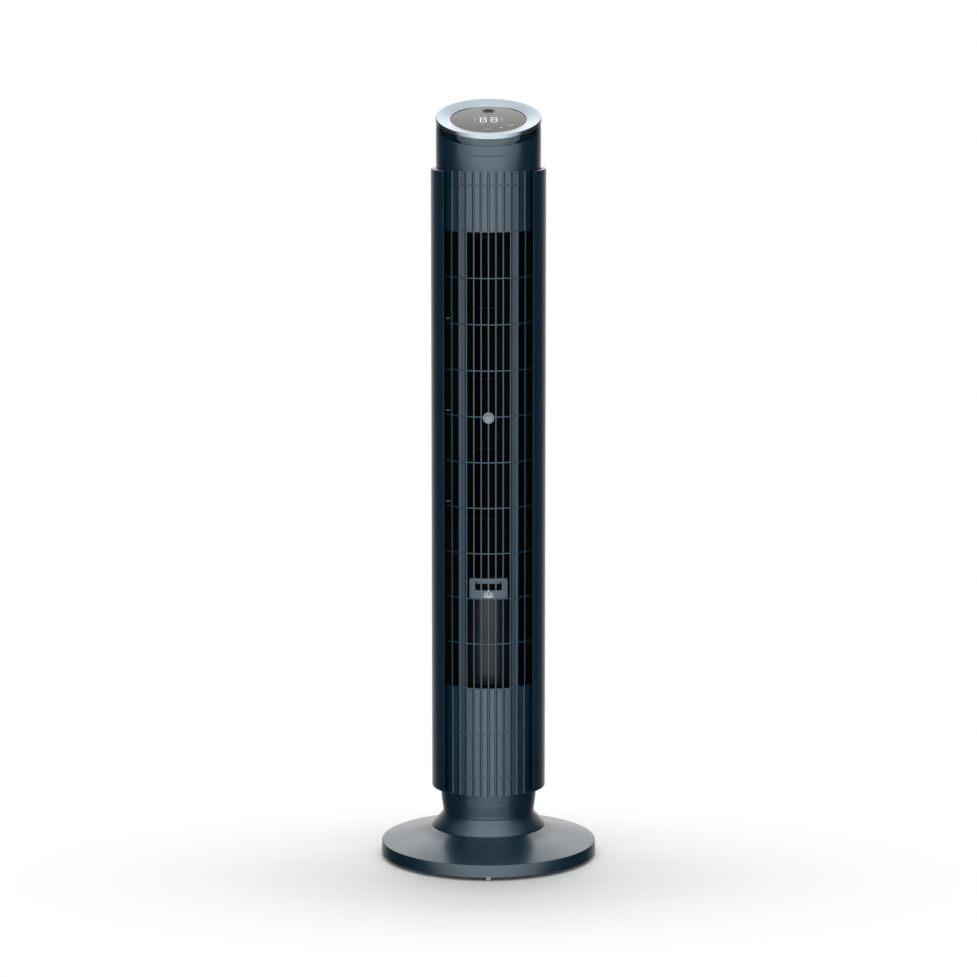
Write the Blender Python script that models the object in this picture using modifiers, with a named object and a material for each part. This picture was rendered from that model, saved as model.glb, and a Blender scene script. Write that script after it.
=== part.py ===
"""A tower fan that stands on a round base and swings from side to side.

Metres, +Z up, the front faces -Y. The origin is on the floor, at the middle of
the base, on the axis that the tower turns about.
"""
import math

import bmesh
import bpy
from mathutils import Matrix, Vector

GAP = 0.0003            # air left between two pieces that rest on each other
STEPS = 36              # facets round a large turned piece
SMALL_STEPS = 20        # facets round a small one

# Round base
BASE_R = 0.1464
BASE_WALL = 0.0027
RIM_BOTTOM = 0.0049
RIM_TOP = 0.0205
BASE_TOP_R = 0.0773
BASE_TOP = 0.0415
PLATE_BOTTOM = 0.0055
PLATE_TOP = 0.0080
FOOT_COUNT = 5
FOOT_RING_R = 0.118
FOOT_R = 0.009

# Turning joint in the base
POST_R = 0.012
POST_BORE_R = 0.007
POST_TOP = 0.0925
GEAR_BOTTOM = 0.0460
GEAR_TOP = 0.0530
GEAR_MODULE = 0.002
SUN_TEETH = 30
PINION_TEETH = 10
GEAR_CENTRES = GEAR_MODULE * (SUN_TEETH + PINION_TEETH) / 2
TABLE_BOTTOM = 0.0665
TABLE_TOP = 0.0705
NECK_BOTTOM = 0.0612
NECK_TOP = 0.0964

# Tower body
GRILLE_R = 0.0698
RIB_HEIGHT = 0.0015
GRILLE_WALL = 0.0030
GRILLE_BOTTOM = 0.0967
GRILLE_TOP = 0.9377
RIB_PITCH = 0.0098
RIB_WIDTH = 0.0020
RIBS_EACH_SIDE = 5
RING_WIDTH = 0.0018
SLOTS_BOTTOM = 0.2445
RING_PITCH = 0.06135
SLOT_ROWS = 10
SHELL_R = 0.0768
SHELL_WALL = 0.0025
SHELL_BOTTOM = 0.0973
SHELL_TOP = 0.9365
SHELL_EDGE = 0.0592      # half the width between the shells' front edges

# Air path: impeller, motor and the two panels beside them
FAN_Y = 0.006
LOWER_DECK = (0.2385, 0.2435)
MOTOR_DECK = (0.3663, 0.3695)
UPPER_DECK = (0.8588, 0.8628)
DECK_R = 0.065
FAN_R = 0.042
FAN_BOTTOM = 0.3745
SEGMENTS = 5
SEGMENT_PITCH = 0.0945
BLADES = 20
SHROUD_R = 0.0435
SHAFT_R = 0.004
LIP_X = (0.0284, 0.0345)
LIP_Y = -0.0566
SHEET = 0.0020

# Sloping head. Heights are those on the tower's axis.
SLOPE = math.radians(16)
HEAD_BOTTOM = 0.9383
HEAD_WALL_TOP = 0.9935
BAND_TOP = 0.9994
RING_TOP = 1.0050
RING_R = 0.0702
PANEL_R = 0.0504
PANEL_TOP = 1.0010
PANEL_BOTTOM = 0.9982
BUTTON_Y = 0.032
BUTTON_R = 0.0075
BUTTON_HEIGHT = 0.005
BOARD_Z = 0.9855
BOARD_THICKNESS = 0.0016

# Aroma drawer in the front grille
DRAWER_Z = (0.3683, 0.3956)
DRAWER_HALF = 0.0257
WINDOW_Z = (0.3796, 0.3882)
WINDOW_HALF = 0.0178
TRAY_HALF = 0.0205
TRAY_Y = (-0.0690, -0.0455)
TRAY_Z = (0.3700, 0.3930)
TRAY_WALL = 0.0015

# Loom from the power board to the head
LOOM_XY = (0.0596, 0.0105)
LOOM_R = 0.0022

BADGE_Z = 0.6117
BADGE_R = 0.00765


for old in list(bpy.data.objects):
    bpy.data.objects.remove(old, do_unlink=True)

PARTS = bpy.data.collections.new("tower_fan")
CUTTERS = bpy.data.collections.new("cutters")
bpy.context.scene.collection.children.link(PARTS)
bpy.context.scene.collection.children.link(CUTTERS)


def material(name, colour, roughness, metallic=0.0):
    """A Principled material in one colour, given as linear red, green, blue."""
    made = bpy.data.materials.new(name)
    made.use_nodes = True
    shader = made.node_tree.nodes["Principled BSDF"]
    shader.inputs["Base Color"].default_value = (*colour, 1.0)
    shader.inputs["Roughness"].default_value = roughness
    shader.inputs["Metallic"].default_value = metallic
    made.diffuse_color = (*colour, 1.0)
    return made


PETROL = material("petrol_plastic", (0.008, 0.030, 0.048), 0.30)
BLACK = material("black_plastic", (0.010, 0.011, 0.012), 0.45)
SMOKED = material("smoked_gloss_plastic", (0.012, 0.014, 0.018), 0.08)
BRONZE = material("grey_panel_gloss", (0.085, 0.080, 0.075), 0.15)
RUBBER = material("rubber", (0.015, 0.015, 0.016), 0.80)
STEEL = material("zinc_plated_steel", (0.55, 0.56, 0.57), 0.35, 1.0)
BRONZE_BUSH = material("sintered_bronze", (0.45, 0.30, 0.15), 0.45, 1.0)
ACETAL = material("white_acetal", (0.75, 0.75, 0.72), 0.40)
BOARD = material("circuit_board_green", (0.02, 0.12, 0.05), 0.50)
FELT = material("charcoal_felt", (0.022, 0.022, 0.023), 0.95)
PALE_BLUE = material("pale_blue_metallic_lacquer", (0.20, 0.27, 0.33), 0.25, 0.9)


def add(name, mesh, finish, collection=PARTS):
    """Put a mesh in the scene as a named object with one material."""
    obj = bpy.data.objects.new(name, mesh)
    mesh.name = name
    if finish:
        mesh.materials.clear()
        mesh.materials.append(finish)
    collection.objects.link(obj)
    return obj


def bake(obj):
    """Turn an object's modifiers or curve into a plain welded mesh."""
    bpy.context.view_layer.update()
    graph = bpy.context.evaluated_depsgraph_get()
    mesh = bpy.data.meshes.new_from_object(obj.evaluated_get(graph))
    mesh.transform(obj.matrix_world)
    name, homes, finish = obj.name, list(obj.users_collection), obj.active_material
    bpy.data.objects.remove(obj, do_unlink=True)
    bm = bmesh.new()
    bm.from_mesh(mesh)
    bmesh.ops.remove_doubles(bm, verts=bm.verts, dist=0.00001)
    bmesh.ops.recalc_face_normals(bm, faces=bm.faces)
    bm.to_mesh(mesh)
    bm.free()
    return add(name, mesh, finish, homes[0])


def rounded(obj, angle=35):
    """Shade round faces smooth and keep the real edges sharp."""
    obj.data.shade_smooth()
    obj.data.set_sharp_from_angle(angle=math.radians(angle))
    return obj


def turned(name, profile, finish, centre=(0.0, 0.0), steps=STEPS):
    """Turn a profile of (radius, height) points about a vertical axis.

    The profile runs down its outer side. One that starts and ends on the axis
    makes a solid piece, and any other closes on itself as a ring.
    """
    bm = bmesh.new()
    points = [bm.verts.new((radius, 0.0, height)) for radius, height in profile]
    for upper, lower in zip(points, points[1:]):
        bm.edges.new((upper, lower))
    if profile[0][0] > 0:
        bm.edges.new((points[-1], points[0]))
    mesh = bpy.data.meshes.new(name)
    bm.to_mesh(mesh)
    bm.free()
    obj = add(name, mesh, finish)
    obj.location = (centre[0], centre[1], 0.0)
    turn = obj.modifiers.new("Turn", "SCREW")
    turn.steps = steps
    turn.render_steps = steps
    turn.use_merge_vertices = True
    turn.merge_threshold = 0.00001
    return rounded(bake(obj))


def ring(name, inner, outer, bottom, top, finish, centre=(0.0, 0.0), steps=SMALL_STEPS):
    """A plain washer or tube."""
    profile = [(inner, top), (outer, top), (outer, bottom), (inner, bottom)]
    return turned(name, profile, finish, centre, steps)


def disc(name, radius, bottom, top, finish, centre=(0.0, 0.0), steps=SMALL_STEPS):
    """A plain solid cylinder, standing up."""
    profile = [(0.0, top), (radius, top), (radius, bottom), (0.0, bottom)]
    return turned(name, profile, finish, centre, steps)


def box(name, low, high, finish, bevel=0.0):
    """A block from its lowest corner to its highest, with rounded edges if asked."""
    low, high = Vector(low), Vector(high)
    bm = bmesh.new()
    bmesh.ops.create_cube(bm, size=1.0)
    bmesh.ops.scale(bm, vec=high - low, verts=bm.verts)
    bmesh.ops.translate(bm, vec=(low + high) / 2, verts=bm.verts)
    mesh = bpy.data.meshes.new(name)
    bm.to_mesh(mesh)
    bm.free()
    obj = add(name, mesh, finish)
    if bevel:
        edge = obj.modifiers.new("Edge", "BEVEL")
        edge.width = bevel
        edge.segments = 1
    return obj


def slab(name, outline, bottom, top, finish, hole=None):
    """A flat outline of (x, y) points, made as thick as the two heights say."""
    curve = bpy.data.curves.new(name, "CURVE")
    curve.dimensions = "2D"
    curve.fill_mode = "BOTH"
    curve.extrude = (top - bottom) / 2
    for loop in [outline] + ([hole] if hole else []):
        spline = curve.splines.new("POLY")
        spline.points.add(len(loop) - 1)
        for point, (x, y) in zip(spline.points, loop):
            point.co = (x, y, 0.0, 1.0)
        spline.use_cyclic_u = True
    obj = bpy.data.objects.new(name, curve)
    curve.materials.append(finish)
    PARTS.objects.link(obj)
    obj.location.z = (bottom + top) / 2
    return rounded(bake(obj))


def cut(obj, *cutters):
    """Take each cutter's shape out of a piece."""
    for cutter in cutters:
        for home in list(cutter.users_collection):
            home.objects.unlink(cutter)
        CUTTERS.objects.link(cutter)
        cutter.hide_render = True
        cutter.display_type = "WIRE"
        hole = obj.modifiers.new("Cut", "BOOLEAN")
        hole.operation = "DIFFERENCE"
        hole.object = cutter
    return obj


def join(obj, *others):
    """Make several overlapping shapes into one body."""
    for other in others:
        union = obj.modifiers.new("Join", "BOOLEAN")
        union.operation = "UNION"
        union.object = other
    obj = bake(obj)
    for other in others:
        bpy.data.objects.remove(other, do_unlink=True)
    return obj


def sloped(obj):
    """Shear a level piece to the head's slope, which falls towards the front."""
    obj.data.transform(Matrix(((1, 0, 0, 0), (0, 1, 0, 0),
                               (0, math.tan(SLOPE), 1, 0), (0, 0, 0, 1))))
    return obj


def tilted(obj, y, height):
    """Lean a piece made about the origin to the slope, and put it on that line."""
    obj.rotation_euler.x = SLOPE
    obj.location = (0.0, y, height + y * math.tan(SLOPE))
    return obj


def at_angle(angle, radius, centre=(0.0, 0.0)):
    """The point at an angle from the front, turning towards +X."""
    return (centre[0] + radius * math.sin(angle), centre[1] - radius * math.cos(angle))


def arc(start, end, radius, count, centre=(0.0, 0.0)):
    """Points along an arc, with angles measured from the front."""
    angles = [start + (end - start) * step / count for step in range(count + 1)]
    return [at_angle(angle, radius, centre) for angle in angles]


def circle(radius, count, centre=(0.0, 0.0)):
    """Points round a full circle."""
    return arc(0.0, 2 * math.pi, radius, count, centre)[:-1]


# ---------------------------------------------------------------- base

def make_base():
    """The weighted round base, its bottom plate and rubber feet."""
    inner_r = BASE_R - BASE_WALL
    fillet = 0.0023
    seat_r = 0.060
    sweep = [(0.0840, 0.0388), (0.0975, 0.0344)]
    under_sweep = [(radius - 0.001, height - BASE_WALL) for radius, height in reversed(sweep)]
    profile = [(seat_r, BASE_TOP), (BASE_TOP_R, BASE_TOP), *sweep,
               (BASE_R - fillet, RIM_TOP + fillet), (BASE_R - fillet / 3, RIM_TOP + fillet / 2),
               (BASE_R, RIM_TOP), (BASE_R, RIM_BOTTOM), (inner_r, RIM_BOTTOM),
               (inner_r, RIM_TOP - 0.001), *under_sweep, (BASE_TOP_R, BASE_TOP - BASE_WALL),
               (seat_r, BASE_TOP - BASE_WALL)]
    base_disc = turned("base_disc", profile, PETROL)
    gland_half = 0.0055
    gland_z = (PLATE_TOP + GAP, 0.0193)
    notch_half = gland_half + GAP
    notch = box("gland_notch", (-notch_half, inner_r - 0.004, 0.0),
                (notch_half, BASE_R + 0.01, gland_z[1] + GAP), None)
    cut(base_disc, notch)

    gland = box("cable_gland", (-gland_half, 0.1365, gland_z[0]),
                (gland_half, BASE_R - 0.0004, gland_z[1]), BLACK, 0.0006)
    bore = disc("gland_bore", 0.0033, -0.02, 0.02, None)
    bore.rotation_euler.x = math.radians(90)
    bore.location = (0.0, BASE_R, sum(gland_z) / 2)
    cut(gland, bore)

    collar_wall = 0.0024
    outer = [(0.0614, 0.0606), (0.0700, 0.0516), (0.0768, 0.0440), (0.0768, BASE_TOP + GAP)]
    inner = [(radius - collar_wall, height) for radius, height in reversed(outer)]
    turned("base_collar", outer + inner, PETROL)

    turned("base_plate", [(0.0, PLATE_TOP), (inner_r - GAP, PLATE_TOP),
                          (inner_r - GAP, PLATE_BOTTOM), (0.0, PLATE_BOTTOM)], BLACK)
    ring("ballast_ring", 0.092, 0.130, PLATE_TOP + GAP, 0.0145, STEEL, steps=STEPS)
    for number in range(FOOT_COUNT):
        spot = at_angle(2 * math.pi * number / FOOT_COUNT, FOOT_RING_R)
        foot_top = PLATE_BOTTOM - GAP
        profile = [(0.0, foot_top), (FOOT_R, foot_top), (FOOT_R, 0.001),
                   (FOOT_R - 0.001, 0.0), (0.0, 0.0)]
        turned(f"foot_{number + 1}", profile, RUBBER, spot, SMALL_STEPS)


def gear_outline(teeth, first_tooth, centre=(0.0, 0.0)):
    """A gear's outline: straight-sided teeth, with some backlash."""
    pitch_r = GEAR_MODULE * teeth / 2
    half = math.pi * GEAR_MODULE / 4 * 0.76
    flank = math.tan(math.radians(20))
    heights = [(-1.10, -1), (0.75, -1), (0.75, 1), (-1.10, 1)]
    outline = []
    for tooth in range(teeth):
        middle = first_tooth + 2 * math.pi * tooth / teeth
        for rise, side in heights:
            radius = pitch_r + rise * GEAR_MODULE
            width = half - rise * GEAR_MODULE * flank
            outline.append(at_angle(middle + side * width / radius, radius, centre))
    return outline


def make_turning_joint():
    """The fixed post and gear in the base, and what turns about them."""
    shoulder = 0.016
    flange_r = 0.030
    flange_top = 0.0123
    flange_bottom = PLATE_TOP + GAP
    gear_seat = GEAR_BOTTOM - GAP
    profile = [(POST_BORE_R, POST_TOP), (POST_R, POST_TOP), (POST_R, gear_seat),
               (shoulder, gear_seat), (shoulder, flange_top), (flange_r, flange_top),
               (flange_r, flange_bottom), (POST_BORE_R, flange_bottom)]
    turned("pivot_post", profile, STEEL, steps=SMALL_STEPS)

    behind = math.pi
    slab("sun_gear", gear_outline(SUN_TEETH, behind), GEAR_BOTTOM, GEAR_TOP, ACETAL,
         circle(POST_R + GAP, SMALL_STEPS))
    hub_bottom = 0.0560
    hub_top = 0.0840
    ring("thrust_ring", POST_R + 0.0006, 0.020, GEAR_TOP + GAP, hub_bottom - GAP, BRONZE_BUSH)

    table_r = 0.0583
    profile = [(POST_R + 0.0004, hub_top), (0.018, hub_top), (0.018, TABLE_TOP),
               (table_r, TABLE_TOP), (table_r, TABLE_BOTTOM), (0.020, TABLE_BOTTOM),
               (0.020, hub_bottom), (POST_R + 0.0004, hub_bottom)]
    table = turned("turntable", profile, BLACK, steps=28)
    spindle = (0.0, GEAR_CENTRES)
    cut(table, disc("pinion_hole", 0.0034, 0.060, 0.075, None, spindle))

    washer_top = hub_top + GAP + 0.002
    ring("retaining_washer", POST_R + GAP, 0.019, hub_top + GAP, washer_top, STEEL)
    slab("retaining_nut", circle(0.0185, 6), washer_top + GAP, washer_top + 0.005, STEEL,
         circle(POST_R + GAP, SMALL_STEPS))

    half_tooth = math.pi / PINION_TEETH
    pinion = slab("pinion", gear_outline(PINION_TEETH, half_tooth, spindle),
                  GEAR_BOTTOM, GEAR_TOP, ACETAL)
    join(pinion, disc("pinion_shaft", 0.0025, GEAR_BOTTOM + 0.002, TABLE_TOP, None, spindle))

    motor_bottom = TABLE_TOP + GAP
    motor = disc("swing_motor", 0.014, motor_bottom, motor_bottom + 0.019, STEEL, spindle)
    ears = box("motor_ears", (-0.021, GEAR_CENTRES - 0.0035, motor_bottom),
               (0.021, GEAR_CENTRES + 0.0035, motor_bottom + 0.0012), None)
    join(motor, ears)

    spigot_r = GRILLE_R - GRILLE_WALL - 0.0012
    spigot_top = 0.1150
    outer = [(spigot_r, spigot_top), (spigot_r, 0.0990), (0.0650, NECK_TOP), (0.0640, 0.0806),
             (0.0619, 0.0660), (0.0615, NECK_BOTTOM)]
    inner = [(0.0591, NECK_BOTTOM), (0.0617, 0.0806), (0.0632, 0.0985), (0.0632, spigot_top)]
    turned("neck", outer + inner, PETROL)


# ---------------------------------------------------------------- tower

def make_grille(name, slot_rows, row_height, mouth=None):
    """Half a tube with upright ribs, rings across them and open slots between.

    One column on each side stays closed, as a bar that hides the panel's edge.
    A mouth is a pair of heights between which the middle ribs are left out.
    """
    zone = (RIBS_EACH_SIDE + 1) * RIB_PITCH
    rib_lines = []
    for rib in range(-RIBS_EACH_SIDE, RIBS_EACH_SIDE + 1):
        rib_lines += [rib * RIB_PITCH - RIB_WIDTH / 2, rib * RIB_PITCH + RIB_WIDTH / 2]
    zone_angle = math.asin(zone / GRILLE_R)
    seam = math.radians(89.5)
    flank = [zone_angle, (zone_angle + seam) / 2, seam]
    angles = ([-angle for angle in reversed(flank)]
              + [math.asin(line / GRILLE_R) for line in rib_lines] + flank)
    slot_columns = set(range(2, len(angles) - 3, 2)) - {6, len(angles) - 8}
    middle_ribs = range(9, 19, 2)

    heights = [GRILLE_BOTTOM, GRILLE_TOP, *(mouth or [])]
    for row in range(slot_rows + 1):
        middle = SLOTS_BOTTOM + row * row_height
        heights += [middle - RING_WIDTH / 2, middle + RING_WIDTH / 2]
    heights.sort()

    bm = bmesh.new()
    columns, rows = len(angles) - 1, len(heights) - 1
    bmesh.ops.create_grid(bm, x_segments=columns, y_segments=rows, size=1.0)
    for face in list(bm.faces):
        middle = face.calc_center_median()
        column = math.floor((middle.x + 1) / 2 * columns)
        row = math.floor((middle.y + 1) / 2 * rows)
        height = (heights[row] + heights[row + 1]) / 2
        place = (height - SLOTS_BOTTOM) / row_height
        is_slot = 0 < place < slot_rows and heights[row + 1] - heights[row] > 2 * RING_WIDTH
        is_mouth = mouth and mouth[0] < height < mouth[1] and column in middle_ribs
        if (is_slot and column in slot_columns) or is_mouth:
            bm.faces.remove(face)
    for vert in bm.verts:
        column = round((vert.co.x + 1) / 2 * columns)
        row = round((vert.co.y + 1) / 2 * rows)
        x, y = at_angle(angles[column], GRILLE_R)
        vert.co = (x, y, heights[row])
    loose = [edge for edge in bm.edges if not edge.link_faces]
    bmesh.ops.delete(bm, geom=loose, context="EDGES")
    mesh = bpy.data.meshes.new(name)
    bm.to_mesh(mesh)
    bm.free()
    grille = add(name, mesh, PETROL)
    wall = grille.modifiers.new("Wall", "SOLIDIFY")
    wall.thickness = GRILLE_WALL
    wall.offset = -1.0
    return rounded(bake(grille), 25)


def make_casing():
    """The two grilles and the two plain shells that cover their seams."""
    slack = 0.0004
    make_grille("front_grille", SLOT_ROWS, RING_PITCH, (TRAY_Z[0] - slack, TRAY_Z[1] + slack))
    rear = make_grille("rear_grille", SLOT_ROWS // 2, 2 * RING_PITCH)
    rear.rotation_euler.z = math.pi

    inner_r = GRILLE_R + 0.00035
    outer_start = math.asin(SHELL_EDGE / SHELL_R)
    draft = 0.0006
    inner_start = math.asin((SHELL_EDGE - draft) / inner_r)
    for name, side in (("right_shell", 1), ("left_shell", -1)):
        outline = (arc(side * outer_start, side * (math.pi - outer_start), SHELL_R, 14)
                   + arc(side * (math.pi - inner_start), side * inner_start, inner_r, 14))
        shell = slab(name, outline, SHELL_BOTTOM, SHELL_TOP, PETROL)
        first = side * (inner_start + SHELL_WALL / SHELL_R)
        last = side * math.pi - first
        hollow = (arc(first, last, SHELL_R - SHELL_WALL, 14)
                  + arc(last, first, inner_r - SHELL_WALL, 14))
        cut(shell, slab(f"{name}_hollow", hollow, SHELL_BOTTOM + SHELL_WALL,
                        SHELL_TOP - SHELL_WALL, None))

    badge = disc("grille_badge", BADGE_R, -0.0008, 0.0008, BRONZE)
    badge.rotation_euler.x = math.radians(90)
    badge.location = (0.0, -GRILLE_R - RIB_HEIGHT - 0.0011, BADGE_Z)


def sheet_outline(path, thickness):
    """The outline of a bent sheet that follows a line of (x, y) points."""
    points = [Vector(place) for place in path]
    runs = [(after - before).normalized() for before, after in zip(points, points[1:])]
    left, right = [], []
    for point, arriving, leaving in zip(points, runs[:1] + runs, runs + runs[-1:]):
        along = (arriving + leaving).normalized()
        across = Vector((-along.y, along.x))
        square = Vector((-leaving.y, leaving.x))
        mitre = across * (thickness / 2 / across.dot(square))
        left.append(tuple(point + mitre))
        right.append(tuple(point - mitre))
    return left + right[::-1]


def make_air_path():
    """Decks across the tower, and the panels that guide the air to the slots.

    The baffle closes the space between the scroll and the casing, so that no air
    runs back through the outermost slots.
    """
    fan = (0.0, FAN_Y)
    loom_hole = 0.0040
    lower = disc("lower_deck", DECK_R, *LOWER_DECK, BLACK, steps=STEPS)
    upper = disc("upper_deck", DECK_R, *UPPER_DECK, BLACK, steps=STEPS)
    cut(lower, disc("loom_hole_low", loom_hole, 0.23, 0.25, None, LOOM_XY, 12))
    cut(upper, disc("loom_hole_high", loom_hole, 0.85, 0.87, None, LOOM_XY, 12),
        disc("bearing_hole", 0.0125, 0.85, 0.87, None, fan))
    ring("bearing_holder", 0.0065, 0.0122, 0.8570, 0.8646, RUBBER, fan)
    ring("bearing_bush", 0.0034, 0.0062, 0.8560, 0.8656, BRONZE_BUSH, fan)

    panel_z = (LOWER_DECK[1] + GAP, UPPER_DECK[0] - GAP)
    lip = LIP_Y + SHEET / 2
    spiral = []
    for degrees, radius in [(-36, 0.055), (-12, 0.0515), (12, 0.0490), (32, 0.0475), (50, 0.0467)]:
        turn = math.radians(degrees)
        spiral.append((radius * math.cos(turn), FAN_Y + radius * math.sin(turn)))
    scroll = [(LIP_X[1], lip), (LIP_X[0] + 0.001, lip)] + spiral + [(0.0445, 0.0465)]
    slab("scroll_panel", sheet_outline(scroll, SHEET), *panel_z, BLACK)
    tongue = [(-LIP_X[1], lip), (-LIP_X[0] - 0.001, lip), (-0.0355, -0.0265),
              (-0.0400, -0.0225), (-0.0600, -0.0195)]
    slab("stabiliser_panel", sheet_outline(tongue, SHEET), *panel_z, BLACK)
    baffle_y = -0.0120
    box("side_baffle", (0.0500, baffle_y - SHEET / 2, panel_z[0]),
        (0.0638, baffle_y + SHEET / 2, panel_z[1]), BLACK)

    motor_deck = disc("motor_deck", SHROUD_R, *MOTOR_DECK, BLACK, fan, STEPS)
    cut(motor_deck, disc("shaft_hole", SHAFT_R + 0.001, 0.36, 0.38, None, fan))
    ring("motor_shroud", SHROUD_R - 0.002, SHROUD_R, LOWER_DECK[1] + GAP, MOTOR_DECK[0] - GAP,
         PETROL, fan, STEPS)


def make_motor():
    """The fan motor: housing and windings stay, rotor and shaft turn."""
    fan = (0.0, FAN_Y)
    housing_top = 0.3350
    housing_r = 0.0355
    wall = 0.0016
    foot = LOWER_DECK[1] + GAP
    profile = [(SHAFT_R + 0.0005, housing_top), (housing_r, housing_top), (housing_r, foot + 0.002),
               (housing_r + 0.004, foot + 0.002), (housing_r + 0.004, foot),
               (housing_r - wall, foot), (housing_r - wall, housing_top - wall),
               (SHAFT_R + 0.0005, housing_top - wall)]
    turned("motor_housing", profile, STEEL, fan, 28)
    ring("motor_stator", 0.0205, housing_r - wall - GAP, 0.272, 0.308, BRONZE_BUSH, fan, 28)
    ring("motor_rotor", SHAFT_R + GAP, 0.0198, 0.270, 0.310, STEEL, fan, 28)
    disc("motor_shaft", SHAFT_R, 0.262, FAN_BOTTOM - GAP, STEEL, fan)


def make_impeller():
    """Five moulded drums of blades stacked on the motor's shaft."""
    fan = (0.0, FAN_Y)
    disc_thickness = 0.002
    blade_length, blade_width = 0.0090, 0.0012
    blade_r = FAN_R - blade_length / 2 - 0.0005
    lean = math.radians(28)
    height = SEGMENT_PITCH - GAP
    root = disc_thickness / 2
    bm = bmesh.new()
    for blade in range(BLADES):
        turn = Matrix.Rotation(2 * math.pi * blade / BLADES, 4, "Z")
        place = turn @ Matrix.Translation((0.0, blade_r, (root + height) / 2))
        made = bmesh.ops.create_cube(bm, size=1.0)["verts"]
        bmesh.ops.scale(bm, vec=(blade_width, blade_length, height - root), verts=made)
        bmesh.ops.transform(bm, matrix=place @ Matrix.Rotation(lean, 4, "Z"), verts=made)
    blades = bpy.data.meshes.new("blades")
    bm.to_mesh(blades)
    bm.free()
    drum = disc("impeller_drum_1", FAN_R, 0.0, disc_thickness, BLACK, steps=40)
    drum = join(drum, add("blades", blades, None))
    for number in range(SEGMENTS):
        if number:
            drum = add(f"impeller_drum_{number + 1}", drum.data.copy(), BLACK)
        drum.location = (*fan, FAN_BOTTOM + number * SEGMENT_PITCH)

    cap_bottom = FAN_BOTTOM + SEGMENTS * SEGMENT_PITCH
    cap_top = cap_bottom + 0.003
    stub_top = 0.8690
    profile = [(0.0, stub_top), (0.003, stub_top), (0.003, cap_top), (FAN_R, cap_top),
               (FAN_R, cap_bottom), (0.0, cap_bottom)]
    turned("impeller_cap", profile, BLACK, fan, 40)


# ---------------------------------------------------------------- head

def make_head():
    """The housing, smoked band, dished ring and control panel on top."""
    inner_r = GRILLE_R - 0.0024
    spigot = (0.0636, GRILLE_R - GRILLE_WALL - 0.0012)
    spigot_bottom = 0.9260
    profile = [(GRILLE_R, HEAD_WALL_TOP), (GRILLE_R, HEAD_BOTTOM), (spigot[1], HEAD_BOTTOM),
               (spigot[1], spigot_bottom), (spigot[0], spigot_bottom), (spigot[0], 0.9420),
               (inner_r, 0.9440), (inner_r, HEAD_WALL_TOP)]
    housing = turned("head_housing", profile, PETROL)
    for vert in housing.data.vertices:
        if vert.co.z > HEAD_WALL_TOP - 0.001:
            vert.co.z += vert.co.y * math.tan(SLOPE)

    band_r = (0.0664, 0.0695)
    sloped(ring("smoked_band", *band_r, HEAD_WALL_TOP + GAP, BAND_TOP, SMOKED, steps=STEPS))

    skirt = (0.0642, 0.0660)
    ring_bottom = BAND_TOP + GAP
    well_r = PANEL_R + GAP
    ledge_r = PANEL_R - 0.0024
    profile = [(well_r, 1.0015), (RING_R - 0.001, RING_TOP), (RING_R, RING_TOP - 0.0008),
               (RING_R, ring_bottom), (skirt[1], ring_bottom), (skirt[1], 0.9850),
               (skirt[0], 0.9850), (skirt[0], 0.9965), (ledge_r, 0.9955),
               (ledge_r, PANEL_BOTTOM - GAP), (well_r, PANEL_BOTTOM - GAP)]
    sloped(turned("trim_ring", profile, PALE_BLUE))

    panel = sloped(disc("control_panel", PANEL_R, PANEL_BOTTOM, PANEL_TOP, BRONZE, steps=STEPS))
    well = disc("button_well", BUTTON_R + 0.0003, -0.01, 0.01, None)
    cut(panel, tilted(well, BUTTON_Y, PANEL_TOP))

    dish = 0.0011
    top = [(BUTTON_R * step / 4, -dish * (1 - (step / 4) ** 2)) for step in range(5)]
    profile = top + [(BUTTON_R, -BUTTON_HEIGHT), (0.0, -BUTTON_HEIGHT)]
    tilted(turned("power_button", profile, BRONZE, steps=SMALL_STEPS), BUTTON_Y, PANEL_TOP)


def make_electronics():
    """The boards, the display, the switch and the loom between them."""
    half = BOARD_THICKNESS / 2
    tilted(box("circuit_board", (-0.039, -0.040, -half), (0.039, 0.040, half), BOARD), 0.0, BOARD_Z)
    on_board = half + GAP
    tilted(box("display_module", (-0.015, -0.0125, on_board), (0.015, 0.0115, on_board + 0.009),
               BLACK, 0.0005), 0.0, BOARD_Z)
    tilted(box("tact_switch", (-0.003, -0.003, on_board), (0.003, 0.003, on_board + 0.0076),
               BLACK), BUTTON_Y, BOARD_Z)
    tilted(box("ir_receiver", (0.010, -0.003, on_board), (0.016, 0.001, on_board + 0.0070),
               BLACK, 0.0005), -0.034, BOARD_Z)
    box("power_board", (-0.030, 0.0200, 0.1250), (0.030, 0.0216, 0.2150), BOARD)

    x, y = LOOM_XY
    route = [(0.0200, 0.0172, 0.2080), (0.0280, 0.0140, 0.2110), (0.0430, 0.0115, 0.2130),
             (0.0550, y, 0.2180), (x, y, 0.2300), (x, y, 0.9300), (0.0550, 0.0060, 0.9450),
             (0.0380, 0.0020, 0.9560), (0.0240, 0.0, 0.9640), (0.0200, 0.0, 0.9840)]
    curve = bpy.data.curves.new("wiring_loom", "CURVE")
    curve.dimensions = "3D"
    curve.bevel_depth = LOOM_R
    curve.bevel_resolution = 1
    curve.use_fill_caps = True
    spline = curve.splines.new("POLY")
    spline.points.add(len(route) - 1)
    for point, place in zip(spline.points, route):
        point.co = (*place, 1.0)
    curve.materials.append(BLACK)
    loom = bpy.data.objects.new("wiring_loom", curve)
    PARTS.objects.link(loom)
    bake(loom)


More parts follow.
